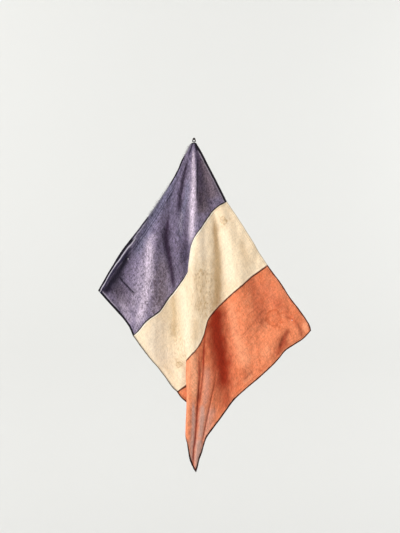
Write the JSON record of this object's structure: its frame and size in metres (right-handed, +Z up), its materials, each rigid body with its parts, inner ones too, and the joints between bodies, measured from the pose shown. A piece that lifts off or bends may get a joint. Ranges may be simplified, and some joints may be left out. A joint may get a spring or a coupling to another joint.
{
  "type": "tattered cotton flag hanging by one corner from a nail",
  "caption": "Worn flag of three faded cotton panels, blue, cream and red, draped in soft folds from one corner on a nail.",
  "frame": {"origin": "centre of the flat end of the nail's shank, where the nail meets the wall's face", "axes": "+Z up; +Y into the wall, so the flag's front faces -Y; +X to the right of someone who looks at the front"},
  "size_m": [0.7038, 0.071, 1.1],
  "materials": {
    "faded_blue_cotton": "matte",
    "yellowed_cream_cotton": "matte",
    "faded_red_cotton": "matte",
    "dark_edge_cord": "matte",
    "nail_steel": "satin"
  },
  "bodies": {
    "root": {"blue_hoist_panel": "faded_blue_cotton", "cream_middle_panel": "yellowed_cream_cotton", "red_fly_panel": "faded_red_cotton", "corner_loop": "dark_edge_cord", "nail": "nail_steel"}
  },
  "joints": []
}
